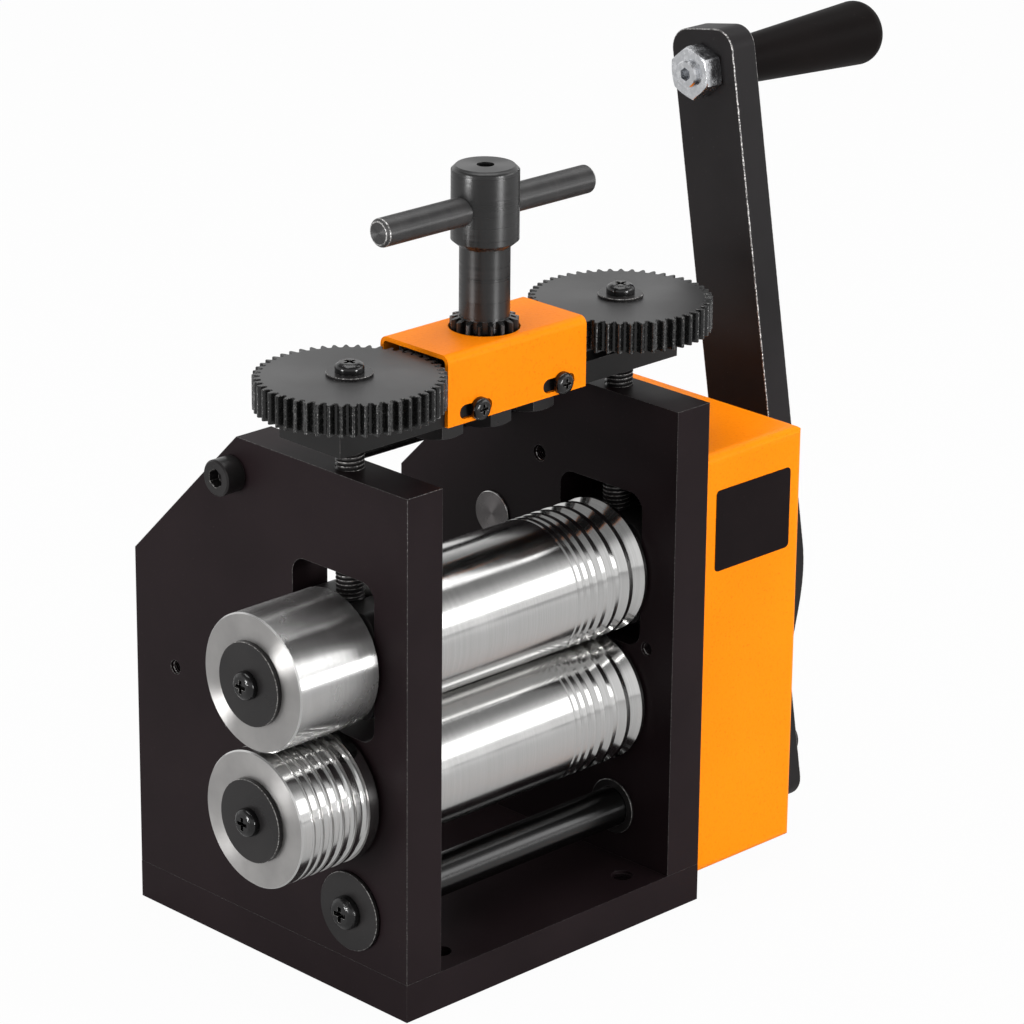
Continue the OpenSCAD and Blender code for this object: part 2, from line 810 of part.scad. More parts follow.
module far_adjusting_gear() { adjusting_gear(1); }

// Adjusting screw: captive button, neck, thread, journal and gear seat
module adjusting_screw(side) {
    seat_low = bridge_low - run_gap;
    color([0.18, 0.18, 0.19]) translate([side * x_mid, roll_y, 0]) difference() {
        union() {
            translate([0, 0, button_low]) cylinder(h = button_h, d = button_d);
            translate([0, 0, button_low]) cylinder(h = thread_low - button_low, d = neck_d);
            translate([0, 0, thread_low])
                cylinder(h = seat_low - thread_low, d = adjust_screw_d);
            translate([0, 0, seat_low])
                cylinder(h = bridge_high + turn_play - seat_low, d = seat_d);
            translate([0, 0, bridge_high + turn_play])
                linear_extrude(gear_high - 2 * turn_play - bridge_high)
                    two_flats(seat_d, seat_flat);
        }
        translate([0, 0, gear_high - gear_screw_len - over])
            cylinder(h = gear_screw_len + 2 * over, d = gear_screw_d + 2 * fix_gap);
    }
}

module near_adjusting_screw() { adjusting_screw(-1); }

module far_adjusting_screw() { adjusting_screw(1); }

module gear_washer(side) {
    color([0.12, 0.12, 0.13]) translate([side * x_mid, roll_y, gear_high])
        linear_extrude(gear_washer_t) difference() {
            circle(d = gear_washer_d);
            circle(d = gear_screw_d + 2 * fix_gap);
        }
}

module near_gear_washer() { gear_washer(-1); }

module far_gear_washer() { gear_washer(1); }

module gear_screw(side) {
    color([0.1, 0.1, 0.11])
        translate([side * x_mid, roll_y, gear_high + gear_washer_t])
            rotate([0, 90, 0]) pan_screw(gear_screw_d, gear_screw_len);
}

module near_gear_screw() { gear_screw(-1); }

module far_gear_screw() { gear_screw(1); }

// Handle spindle: thread, journal, flange, pinion teeth, shaft and head in one piece
module handle_spindle() {
    thread_end = bridge_low - turn_play - nut_h - over;
    seat = bridge_high + turn_play / 3;
    color([0.16, 0.15, 0.15]) difference() {
        union() {
            rod_z(thread_end, bridge_low - turn_play - thread_end, idler_pin_d, 0, handle_y);
            rod_z(bridge_low - turn_play, seat - bridge_low + turn_play, spindle_journal_d,
                0, handle_y);
            rod_z(seat, gear_low - seat, pin_flange_d, 0, handle_y);
            translate([0, handle_y, gear_low]) intersection() {
                linear_extrude(teeth_high - gear_low)
                    polygon(gear_points(spindle_teeth, adjust_module, adjust_backlash,
                        spindle_phase, fine_shares));
                rotate_extrude() polygon([
                    [0, 0], [spindle_tip_d, 0], [spindle_tip_d, bracket_high - gear_low],
                    [shaft_d / 2 - chamfer, teeth_high - gear_low],
                    [0, teeth_high - gear_low]
                ]);
            }
            translate([0, handle_y, 0]) rotate_extrude() polygon([
                [0, bracket_high], [shaft_d / 2, bracket_high],
                [shaft_d / 2, head_low - neck_cone], [head_d / 2, head_low],
                [head_d / 2, head_high - head_bevel], [head_d / 2 - head_bevel, head_high],
                [0, head_high]
            ]);
        }
        rod_x(-head_d, 2 * head_d, bar_d + 2 * fix_gap, handle_y, bar_z);
        rod_z(bar_z, head_high - bar_z + over, set_screw_d + 2 * fix_gap, 0, handle_y);
    }
}

module cross_bar() {
    r = bar_d / 2;
    h = bar_len / 2;
    color([0.16, 0.15, 0.15]) turned_x([
        [-h, 0], [-h, r - bar_bevel], [-h + bar_bevel, r], [h - bar_bevel, r],
        [h, r - bar_bevel], [h, 0]
    ], handle_y, bar_z);
}

// Grub screw that locks the cross bar
module bar_set_screw() {
    low = bar_z + bar_d / 2;
    color([0.1, 0.1, 0.1]) difference() {
        rod_z(low, set_screw_len, set_screw_d, 0, handle_y);
        translate([0, handle_y, low + set_screw_len / 2])
            cylinder(h = set_screw_len, d = set_screw_d / 2, $fn = 6);
    }
}

// Upper bearing block with its bore and the captive slot of the adjusting screw
module bearing_block(x0) {
    color([0.22, 0.21, 0.21]) difference() {
        along_x(x0, plate_t) translate([roll_y, up_z]) soft_rect(block_w, block_h, window_r);
        rod_x(x0 - over, plate_t + 2 * over, roll_bush_d + 2 * fix_gap, roll_y, up_z);
        along_x(x0 - over, plate_t + 2 * over) {
            translate([roll_y - neck_d / 2 - button_room, button_low])
                square([neck_d + 2 * button_room, block_top - button_low + over]);
            translate([roll_y - button_d / 2 - button_room, button_low - turn_play / 2])
                square([button_d + 2 * button_room, button_h + turn_play]);
        }
    }
}

module near_bearing_block() { bearing_block(-x_out); }

module far_bearing_block() { bearing_block(x_in); }

// Running total of a list up to entry n
function total(v, n) = n < 0 ? 0 : v[n] + total(v, n - 1);

roll_half = x_in - end_play;
groove_room = 2 * roll_half - flat_len - total(square_grooves, len(square_grooves) - 1);
square_land = groove_room / len(square_grooves);

// Outline of a main roll: near stub, journals, plain face, vee grooves and far stub
module main_roll(z, far_end) {
    n = len(square_grooves);
    r = roll_d / 2;
    vees = [for (i = [0 : n - 1]) let (
            w = square_grooves[i],
            s = -roll_half + flat_len + total(square_grooves, i - 1) + i * square_land)
        each [[s, r], [s + w / 2, r - w / 2], [s + w, r]]];
    color([0.8, 0.8, 0.8]) difference() {
        union() {
            turned_x(concat(
                [[-x_out - shaft_proud, 0], [-x_out - shaft_proud, journal_d / 2],
                    [-roll_half, journal_d / 2], [-roll_half, r - chamfer],
                    [-roll_half + chamfer, r]],
                vees,
                [[roll_half - chamfer, r], [roll_half, r - chamfer],
                    [roll_half, journal_d / 2], [x_out + shaft_proud, journal_d / 2],
                    [x_out + shaft_proud, 0]]
            ), roll_y, z);
            along_x(-side_end + end_play, side_end - end_play - x_out)
                translate([roll_y, z]) two_flats(stub_d, stub_flat);
            along_x(x_out, far_end - x_out)
                translate([roll_y, z]) two_flats(stub_d, stub_flat);
        }
        rod_x(-side_end, side_screw_len, side_screw_d + 2 * fix_gap, roll_y, z);
        rod_x(far_end - gear_end_screw_len, gear_end_screw_len + over,
            gear_end_screw_d + 2 * fix_gap, roll_y, z);
    }
}

module upper_roll() { main_roll(up_z, coupling_high - end_play); }

module lower_roll() { main_roll(low_z, main_high - end_play); }

// Bore of a side roll or gear that fits on a stub
module stub_bore(x0, len, z) {
    along_x(x0 - over, len + 2 * over) translate([roll_y, z])
        two_flats(stub_d + 2 * fix_gap, stub_flat + 2 * fix_gap);
}

module upper_side_roll() {
    r = side_roll_d / 2;
    color([0.8, 0.8, 0.8]) difference() {
        turned_x([
            [-side_end, 0], [-side_end, r - chamfer], [-side_end + chamfer, r],
            [-side_end + side_roll_len - chamfer, r], [-side_end + side_roll_len, r - chamfer],
            [-side_end + side_roll_len, 0]
        ], roll_y, up_z);
        stub_bore(-side_end, side_roll_len, up_z);
    }
}

module lower_side_roll() {
    r = side_roll_d / 2;
    n = len(round_grooves);
    land = (side_roll_len - 2 * side_band - total(round_grooves, n - 1)) / (n - 1);
    arcs = [for (i = [0 : n - 1]) let (
            w = round_grooves[i],
            s = -side_end + side_band + total(round_grooves, i - 1) + i * land + w / 2)
        each [for (a = [0 : 20 : 180]) [s - w / 2 * cos(a), r - w / 2 * sin(a)]]];
    color([0.8, 0.8, 0.8]) difference() {
        turned_x(concat(
            [[-side_end, 0], [-side_end, r - chamfer], [-side_end + chamfer, r]],
            arcs,
            [[-side_end + side_roll_len - chamfer, r],
                [-side_end + side_roll_len, r - chamfer], [-side_end + side_roll_len, 0]]
        ), roll_y, low_z);
        stub_bore(-side_end, side_roll_len, low_z);
    }
}

// A thick washer that stands on the X axis
module washer_x(x0, t, d, hole, y, z) {
    difference() {
        rod_x(x0, t, d, y, z);
        rod_x(x0 - over, t + 2 * over, hole + 2 * fix_gap, y, z);
    }
}

module side_washer(z) {
    color([0.12, 0.12, 0.13])
        washer_x(-side_end - washer_t, washer_t, side_washer_d, side_screw_d, roll_y, z);
}

module upper_side_washer() { side_washer(up_z); }

module lower_side_washer() { side_washer(low_z); }

module side_screw(z) {
    color([0.1, 0.1, 0.11]) translate([-side_end - washer_t, roll_y, z])
        pan_screw(side_screw_d, side_screw_len);
}

module upper_side_screw() { side_screw(up_z); }

module lower_side_screw() { side_screw(low_z); }

// Long-toothed gear that couples the rolls while they open
module coupling_gear(z, phase) {
    color([0.45, 0.45, 0.47]) difference() {
        along_x(coupling_low, coupling_w) translate([roll_y, z])
            polygon(gear_points(coupling_teeth, coupling_module, coupling_backlash,
                phase, fine_shares));
        stub_bore(coupling_low, coupling_w, z);
    }
}

module upper_coupling_gear() { coupling_gear(up_z, upper_coupling_phase); }

module lower_coupling_gear() { coupling_gear(low_z, lower_coupling_phase); }

module main_gear() {
    color([0.45, 0.45, 0.47]) difference() {
        union() {
            along_x(main_low, main_w) translate([roll_y, low_z])
                polygon(gear_points(main_teeth, drive_module, drive_backlash,
                    main_phase, coarse_shares));
            rod_x(coupling_high, main_low - coupling_high + chamfer, stub_d + boss_d / 2,
                roll_y, low_z);
        }
        stub_bore(coupling_high, main_high - coupling_high, low_z);
    }
}

// Washer and screw on the gear end of a roll, as two solids
module gear_fastener(x0, z) {
    color([0.3, 0.3, 0.31]) {
        washer_x(x0, gear_end_washer_t, gear_end_washer_d, gear_end_screw_d, roll_y, z);
        translate([x0 + gear_end_washer_t, roll_y, z]) rotate([0, 0, 180])
            cap_screw(gear_end_screw_d, gear_end_screw_len);
    }
}

module upper_gear_fastener() { gear_fastener(coupling_high, up_z); }

module lower_gear_fastener() { gear_fastener(main_high, low_z); }

// Drive shaft: plain shaft, collar behind the pinion and flats for the pinion and arm
module drive_shaft() {
    near_end = x_out + turn_play;
    far_end = arm_x0 + arm_t - end_play;
    color([0.2, 0.19, 0.19]) difference() {
        union() {
            rod_x(-near_end, near_end + pinion_low, drive_d, drive_y, drive_z);
            along_x(pinion_low, far_end - pinion_low) translate([drive_y, drive_z])
                two_flats(drive_d, pinion_flat);
            rod_x(pinion_high, arm_x0 - pinion_high, drive_collar_d, drive_y, drive_z);
        }
        rod_x(-near_end - over, drive_screw_len + over, drive_screw_d + 2 * fix_gap,
            drive_y, drive_z);
        rod_x(far_end - crank_screw_len, crank_screw_len + over,
            crank_screw_d + 2 * fix_gap, drive_y, drive_z);
    }
}

module drive_pinion() {
    color([0.5, 0.5, 0.52]) along_x(pinion_low, pinion_high - pinion_low)
        translate([drive_y, drive_z]) difference() {
            polygon(gear_points(pinion_teeth, drive_module, drive_backlash,
                pinion_phase, fine_shares));
            two_flats(drive_d + 2 * fix_gap, pinion_flat + 2 * fix_gap);
        }
}

module drive_shaft_washer() {
    color([0.14, 0.13, 0.13])
        washer_x(-x_out - turn_play - drive_washer_t, drive_washer_t, drive_washer_d,
            drive_screw_d, drive_y, drive_z);
}

module drive_shaft_screw() {
    color([0.1, 0.1, 0.11])
        translate([-x_out - turn_play - drive_washer_t, drive_y, drive_z])
            pan_screw(drive_screw_d, drive_screw_len);
}

// Sideways place of the arm's inner face, u from 0 to 1 along the bend
function arm_sway(u) = arm_x0 + arm_set * (1 - cos(180 * u)) / 2;

// Slope of the bend at u, as an angle
function arm_slant(u) = atan(arm_set * PI / 2 * sin(180 * u) / bend_len);

// Everything on the crank is drawn upright and then leaned about the drive shaft
module leaned() {
    translate([0, drive_y, drive_z]) rotate([-crank_lean, 0, 0]) children();
}

module crank_arm() {
    steps = [for (i = [0 : bend_steps]) i / bend_steps];
    inner = [for (u = steps) [arm_sway(u), bend_from + bend_len * u]];
    outer = [for (u = steps) let (a = arm_slant(u))
        [arm_sway(u) + arm_t * cos(a), bend_from + bend_len * u - arm_t * sin(a)]];
    count = len(outer) - 1;
    color([0.15, 0.14, 0.14]) leaned() difference() {
        intersection() {
            translate([0, arm_w, 0]) rotate([90, 0, 0]) linear_extrude(2 * arm_w)
                polygon(concat(
                    [[arm_x0, -arm_w]], inner, [[arm_x1, crank_r + arm_w]],
                    [[arm_x1 + arm_t, crank_r + arm_w]],
                    [for (i = [count : -1 : 0]) outer[i]], [[arm_x0 + arm_t, -arm_w]]
                ));
            along_x(arm_x0 - over, arm_set + arm_t + 2 * over)
                translate([0, (crank_r + arm_tip - hub_tip) / 2])
                    soft_rect(arm_w, crank_r + arm_tip + hub_tip, arm_r);
        }
        rotate([crank_lean, 0, 0]) along_x(arm_x0 - over, arm_t + 2 * over)
            two_flats(drive_d + 2 * fix_gap, pinion_flat + 2 * fix_gap);
        rod_x(arm_x1 - over, arm_t + 2 * over, stud_d + 2 * fix_gap, 0, crank_r);
    }
}

// Washer and cap screw on the crank's hub, as two solids
module crank_fastener() {
    x0 = arm_x0 + arm_t;
    color([0.12, 0.12, 0.13]) {
        washer_x(x0, crank_washer_t, crank_washer_d, crank_screw_d, drive_y, drive_z);
        translate([x0 + crank_washer_t, drive_y, drive_z]) rotate([0, 0, 180])
            cap_screw(crank_screw_d, crank_screw_len);
    }
}

grip_x0 = arm_x1 + arm_t + stud_collar_t + turn_play;
grip_x1 = grip_x0 + grip_len;
spindle_head_x = grip_x1 - grip_dome - grip_wall - spindle_head_t;

module grip_stud() {
    x0 = arm_x1 - crank_nut_h - stud_out;
    shoulder = arm_x1 + arm_t;
    color([0.7, 0.7, 0.7]) leaned() difference() {
        turned_x([
            [x0, 0], [x0, stud_d / 2 - chamfer], [x0 + chamfer, stud_d / 2],
            [shoulder, stud_d / 2], [shoulder, stud_collar_d / 2],
            [shoulder + stud_collar_t, stud_collar_d / 2],
            [shoulder + stud_collar_t, spindle_d / 2], [spindle_head_x, spindle_d / 2],
            [spindle_head_x, spindle_head_d / 2],
            [spindle_head_x + spindle_head_t, spindle_head_d / 2],
            [spindle_head_x + spindle_head_t, 0]
        ], 0, crank_r);
        translate([x0 - over, 0, crank_r]) rotate([0, 90, 0])
            cylinder(h = stud_d / 2 + over, d = stud_d / 2, $fn = 6);
    }
}

module grip_nut() {
    color([0.75, 0.76, 0.78]) leaned()
        translate([arm_x1 - crank_nut_h, 0, crank_r]) rotate([0, 90, 0]) difference() {
            hex_z(crank_nut_af, crank_nut_h);
            translate([0, 0, -over])
                cylinder(h = crank_nut_h + 2 * over, d = stud_d + 2 * fix_gap);
        }
}

// Tapered grip, solid but for the space of its spindle
module handle_grip() {
    r0 = grip_d0 / 2;
    r1 = grip_d1 / 2;
    dome = [for (a = [0 : 10 : 90])
        [grip_x1 - grip_dome * (1 - sin(a)), r1 - grip_dome * (1 - cos(a))]];
    bore_r = spindle_d / 2 + grip_hole_gap / 2;
    head_r = spindle_head_d / 2 + grip_room;
    head_x0 = spindle_head_x - grip_room;
    head_x1 = spindle_head_x + spindle_head_t + grip_room;
    color([0.12, 0.11, 0.11]) leaned() turned_x(concat(
        [[grip_x0, bore_r], [grip_x0, r0 - chamfer], [grip_x0 + chamfer, r0]],
        dome,
        [[grip_x1, 0], [head_x1, 0], [head_x1, head_r], [head_x0, head_r], [head_x0, bore_r]]
    ), 0, crank_r);
}

base_plate();
near_side_plate();
far_side_plate();
plate_bolts();
tie_rod();
tie_rod_screws();
near_lower_bush();
far_lower_bush();
drive_bushes();
gear_cover();
cover_posts();
cover_screws();
cross_plate();
handle_bracket();
bracket_screws();
idler_pins();
idler_nuts();
near_adjusting_screw();
near_adjusting_gear();
near_gear_washer();
near_gear_screw();
far_adjusting_screw();
far_adjusting_gear();
far_gear_washer();
far_gear_screw();
near_idler_gear();
far_idler_gear();
handle_spindle();
cross_bar();
spindle_nut();
bar_set_screw();
near_bearing_block();
far_bearing_block();
near_upper_bush();
far_upper_bush();
upper_roll();
upper_side_roll();
upper_side_washer();
upper_side_screw();
upper_coupling_gear();
upper_gear_fastener();
lower_roll();
lower_side_roll();
lower_side_washer();
lower_side_screw();
lower_coupling_gear();
main_gear();
lower_gear_fastener();
drive_shaft();
drive_pinion();
drive_shaft_washer();
drive_shaft_screw();
crank_arm();
crank_fastener();
grip_stud();
grip_nut();
handle_grip();
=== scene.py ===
"""Looks for the jewellers rolling mill: materials, rounded edges, threads, label, studio."""
import json
import math

import bmesh
import bpy
from mathutils import Matrix, Vector


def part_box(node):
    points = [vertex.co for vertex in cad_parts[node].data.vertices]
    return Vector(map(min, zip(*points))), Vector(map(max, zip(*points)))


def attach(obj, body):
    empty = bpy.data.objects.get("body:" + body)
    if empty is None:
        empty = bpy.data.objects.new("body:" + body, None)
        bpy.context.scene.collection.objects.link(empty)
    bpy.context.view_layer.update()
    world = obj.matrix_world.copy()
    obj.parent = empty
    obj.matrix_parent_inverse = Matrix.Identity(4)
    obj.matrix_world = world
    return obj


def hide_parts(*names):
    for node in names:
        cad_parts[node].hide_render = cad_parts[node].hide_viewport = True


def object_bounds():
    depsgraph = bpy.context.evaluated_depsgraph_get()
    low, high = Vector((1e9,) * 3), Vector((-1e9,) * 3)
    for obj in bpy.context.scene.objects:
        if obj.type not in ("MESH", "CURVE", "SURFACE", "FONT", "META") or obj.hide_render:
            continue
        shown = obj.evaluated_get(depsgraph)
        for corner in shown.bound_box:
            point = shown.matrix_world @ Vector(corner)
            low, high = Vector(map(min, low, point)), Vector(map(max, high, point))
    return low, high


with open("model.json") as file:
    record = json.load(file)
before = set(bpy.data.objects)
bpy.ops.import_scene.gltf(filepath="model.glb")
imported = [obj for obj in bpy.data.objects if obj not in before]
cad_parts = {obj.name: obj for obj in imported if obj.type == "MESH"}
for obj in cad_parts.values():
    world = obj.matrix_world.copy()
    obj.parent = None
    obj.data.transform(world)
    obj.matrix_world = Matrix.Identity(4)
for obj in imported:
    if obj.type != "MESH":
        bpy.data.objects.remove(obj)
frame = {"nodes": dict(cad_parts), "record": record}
nodes = frame["nodes"]
cad_low, cad_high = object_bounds()

MM = 0.001

# Camera, solved from the square edges of the plates
CAMERA_AZIMUTH = -44.614
CAMERA_ELEVATION = 20.263
CAMERA_ROLL = 0.571
CAMERA_PLACE = (-987.291 * MM, -1046.236 * MM, 679.964 * MM)
CAMERA_LENS = 153.77
CAMERA_SENSOR = 36.0
CAMERA_CLIP = (0.05, 50)

# Rounded edges. A bevel takes the edges that turn by more than its least angle, in degrees
EDGE = 0.45 * MM
BAR_ROUND = 0.28 * MM
FINE_EDGE = 0.22 * MM
SCREW_ROUND = 0.12 * MM
LABEL_ROUND = 0.12 * MM
WELD = 0.002 * MM
BEVEL_LEAST = 35
SMOOTH_ANGLE = math.radians(32)
DOME_ANGLE = math.radians(50)
FLAT_ANGLE = math.radians(0.6)

# Threads of the adjusting screws and of the tapped holes
SCREW_RADIUS = 5 * MM
SCREW_PITCH = 1.5 * MM
SCREW_DEPTH = 0.8 * MM
SCREW_SIDES = 32
SCREW_WALL = 20 * MM
RADIUS_SLACK = 0.02 * MM
HOLE_PITCH = 0.9 * MM
HOLE_DEPTH = 0.42 * MM
HOLE_CLEAR = 0.02 * MM
HOLE_SIDES = 28

# Share of the depth at each row of one turn, and the row that is bare steel with a painted thread
# glint in a tapped hole
THREAD_SHAPE = (0.0, 0.0, 1.0, 1.0)
HOLE_FLANK = 2

# Tapped holes: name, axis, the other two coordinates, radius, low and high end, all in mm, then
# the node and the row of each turn that shows bare steel, painted bright as a thread glint
TAPPED_HOLES = (
    ("near_guide_thread", "X", (49, 95.5), 2.5, -71.4, -60, "near_side_plate", HOLE_FLANK),
    ("far_guide_thread", "X", (-57.3, 98.3), 2.5, 56.6, 68, "far_side_plate", HOLE_FLANK),
    ("pillar_thread", "X", (-2.5, 157.8), 3, 56.6, 63, "far_side_plate", HOLE_FLANK),
    ("bench_thread", "Z", (45, -58), 4, 5, 13.5, "base_plate", None),
)

# Label plate on the cover's front: its sides, corners and thickness
LABEL_X = (77.2 * MM, 115.6 * MM)
LABEL_Z = (125.3 * MM, 155.7 * MM)
LABEL_CORNER = 1.6 * MM
LABEL_THICK = 0.3 * MM
LABEL_STEPS = 6

# Depths of grain and tool marks
GRAIN = 0.05 * MM
TOOL_MARKS = 0.02 * MM
GROUND_MARKS = 0.01 * MM
ORANGE_PEEL = 0.12 * MM

# Space that the cover posts' textures are laid out in
POSTS_MIDDLE = (60 * MM, 21 * MM, 128.5 * MM)
POSTS_REACH = (50 * MM, 50 * MM, 50 * MM)

# Studio levels, where 1 is the strength that shows as white. The ceiling is darker in metal,
# between two heights of the view direction
SKY_LIGHT = 0.6
CEILING = 0.16
CEILING_STARTS = 0.42
CEILING_FULL = 0.62
FLOOR_SEEN = 0.97
FLOOR_MIRRORED = 0.3
FLOOR_BASE = (0.45, 0.45, 0.45)
FLOOR_HALF = 6.0
WHITE = (1, 1, 1, 1)

# Softboxes: name, azimuth and elevation in degrees, distance, width and height in metres, radiance
SOFTBOXES = (
    ("front_right", 44, 17, 1.5, 1.0, 0.46, 2.4),
    ("front", 6, 2, 1.6, 0.42, 0.4, 27.0),
    ("left", -98, 2, 1.5, 0.38, 0.4, 27.0),
    ("above_right", 84, 53, 1.5, 0.7, 0.5, 2.2),
    ("overhead", 150, 84, 1.5, 1.2, 1.2, 3.4),
)


# Materials


def new_material(name, base, roughness, metallic=0.0, specular=0.5):
    """A material with one principled shader. Returns it with its tree and shader."""
    material = bpy.data.materials.new(name)
    material.use_nodes = True
    tree = material.node_tree
    shader = tree.nodes["Principled BSDF"]
    shader.inputs["Base Color"].default_value = (*base, 1)
    shader.inputs["Roughness"].default_value = roughness
    shader.inputs["Metallic"].default_value = metallic
    shader.inputs["Specular IOR Level"].default_value = specular
    return material, tree, shader


def object_place(tree, scale=(1, 1, 1)):
    """Object coordinates, stretched along the axes."""
    place = tree.nodes.new("ShaderNodeTexCoord")
    mapping = tree.nodes.new("ShaderNodeMapping")
    mapping.inputs["Scale"].default_value = scale
    tree.links.new(place.outputs["Object"], mapping.inputs["Vector"])
    return mapping.outputs["Vector"]


def noise(tree, place, scale, detail=3.0, rough=0.55):
    """Noise at a scale given in cycles per metre."""
    node = tree.nodes.new("ShaderNodeTexNoise")
    node.inputs["Scale"].default_value = scale
    node.inputs["Detail"].default_value = detail
    node.inputs["Roughness"].default_value = rough
    tree.links.new(place, node.inputs["Vector"])
    return node.outputs["Fac"]


def spread(tree, value, low, high, start=0.35, end=0.65):
    """Maps a noise value from start..end to low..high."""
    node = tree.nodes.new("ShaderNodeMapRange")
    node.inputs["From Min"].default_value = start
    node.inputs["From Max"].default_value = end
    node.inputs["To Min"].default_value = low
    node.inputs["To Max"].default_value = high
    tree.links.new(value, node.inputs["Value"])
    return node.outputs["Result"]


def blend_colours(tree, factor, first, second):
    """Mixes two colours by a value. Either may be a colour or a socket."""
    node = tree.nodes.new("ShaderNodeMix")
    node.data_type = "RGBA"
    tree.links.new(factor, node.inputs["Factor"])
    for name, colour in (("A", first), ("B", second)):
        socket = [s for s in node.inputs if s.name == name and s.type == "RGBA"][0]
        if isinstance(colour, tuple):
            socket.default_value = (*colour, 1)
        else:
            tree.links.new(colour, socket)
    return [s for s in node.outputs if s.type == "RGBA"][0]


def blend_roughness(tree, shader, factor, first, second):
    """Gives a shader the mix of two roughness sockets."""
    node = tree.nodes.new("ShaderNodeMix")
    for socket, value in (("Factor", factor), ("A", first), ("B", second)):
        tree.links.new(value, node.inputs[socket])
    tree.links.new(node.outputs["Result"], shader.inputs["Roughness"])


def add_bump(tree, shader, height, strength, distance):
    """Bump from a height value, chained after any bump the shader has."""
    node = tree.nodes.new("ShaderNodeBump")
    node.inputs["Strength"].default_value = strength
    node.inputs["Distance"].default_value = distance
    tree.links.new(height, node.inputs["Height"])
    if shader.inputs["Normal"].is_linked:
        tree.links.new(shader.inputs["Normal"].links[0].from_socket, node.inputs["Normal"])
    tree.links.new(node.outputs["Normal"], shader.inputs["Normal"])


def facing_along(tree, axis):
    """1 where a surface faces along an axis of the object, 0 where it faces across it."""
    place = tree.nodes.new("ShaderNodeTexCoord")
    split = tree.nodes.new("ShaderNodeSeparateXYZ")
    size = tree.nodes.new("ShaderNodeMath")
    size.operation = "ABSOLUTE"
    tree.links.new(place.outputs["Normal"], split.inputs["Vector"])
    tree.links.new(split.outputs[axis], size.inputs[0])
    return spread(tree, size.outputs["Value"], 0, 1, 0.9, 0.97)


def turned_sheen(tree, shader, axis, amount):
    """Stretches the highlights across the marks that turning or grinding leaves round an axis."""
    node = tree.nodes.new("ShaderNodeTangent")
    node.direction_type = "RADIAL"
    node.axis = axis
    tree.links.new(node.outputs["Tangent"], shader.inputs["Tangent"])
    shader.inputs["Anisotropic"].default_value = amount
    shader.inputs["Anisotropic Rotation"].default_value = 0.25


def satin_black(name, dark, pale, roughness, grain, specular):
    """Satin black finish with soft blotches, faint dust and a fine grain."""
    material, tree, shader = new_material(name, dark, roughness, 0.0, specular)
    place = object_place(tree)
    blotch = noise(tree, place, 22, detail=4)
    dust = noise(tree, place, 900, detail=2, rough=0.7)
    base = blend_colours(tree, spread(tree, blotch, 0, 1), dark, pale)
    speck = tuple(min(1, 4 * c + 0.01) for c in pale)
    base = blend_colours(tree, spread(tree, dust, 0, 0.4, 0.68, 0.8), base, speck)
    tree.links.new(base, shader.inputs["Base Color"])
    tree.links.new(spread(tree, blotch, roughness - 0.05, roughness + 0.07),
                   shader.inputs["Roughness"])
    add_bump(tree, shader, noise(tree, place, 2600, detail=2), grain, GRAIN)
    return material


def turned_black(name, axis, dark, pale, roughness, specular, marks, vary, sheen=0.95):
    """Blackened steel turned on a lathe, with fine rings across the given axis."""
    material, tree, shader = new_material(name, dark, roughness, 0.0, specular)
    stretch = [14, 14, 14]
    stretch["XYZ".index(axis)] = 1800
    rings = noise(tree, object_place(tree, tuple(stretch)), 1)
    blotch = noise(tree, object_place(tree), 90, detail=4)
    base = blend_colours(tree, spread(tree, blotch, 0, 1), dark, pale)
    base = blend_colours(tree, spread(tree, rings, 0, 0.35, 0.5, 0.75), base,
                         tuple(2.2 * c for c in pale))
    tree.links.new(base, shader.inputs["Base Color"])
    tree.links.new(spread(tree, rings, roughness - vary, roughness + vary),
                   shader.inputs["Roughness"])
    turned_sheen(tree, shader, axis, sheen)
    add_bump(tree, shader, rings, marks, TOOL_MARKS)
    return material


def worn_edge_with_highlight(name, dark, bright, start, end):
    """Thin edge where the finish is rubbed through in small specks, whose bright colour is also a
    painted highlight along the edge.
    """
    material, tree, shader = new_material(name, dark, 0.38, 0.5)
    rub_and_glint = noise(tree, object_place(tree), 1500, rough=0.7)
    base = blend_colours(tree, spread(tree, rub_and_glint, 0, 1, start, end), dark, bright)
    tree.links.new(base, shader.inputs["Base Color"])
    add_bump(tree, shader, rub_and_glint, 0.2, GRAIN)
    return material


def gear_black(name, axis):
    """Blackened gear steel: a soft turned sheen on the faces, glossier tooth sides painted darker
    as shade.
    """
    material, tree, shader = new_material(name, (0.012, 0.012, 0.012), 0.4, 0.0, 0.5)
    place = object_place(tree)
    blotch = noise(tree, place, 26, detail=4)
    face = blend_colours(tree, spread(tree, blotch, 0, 1), (0.017, 0.017, 0.0175),
                         (0.027, 0.0265, 0.0265))
    # Painted shade: the tooth sides get a darker colour than the faces along the axis
    flat = facing_along(tree, axis)
    wear = noise(tree, place, 700, rough=0.7)
    shaded_teeth = blend_colours(tree, spread(tree, wear, 0, 1, 0.55, 0.75), (0.005, 0.005, 0.005),
                          (0.02, 0.0195, 0.019))
    tree.links.new(blend_colours(tree, flat, shaded_teeth, face), shader.inputs["Base Color"])
    blend_roughness(tree, shader, flat, spread(tree, wear, 0.2, 0.32),
                    spread(tree, blotch, 0.34, 0.44))
    turned_sheen(tree, shader, axis, 0.4)
    add_bump(tree, shader, noise(tree, place, 2400, detail=2), 0.22, GRAIN)
    return material


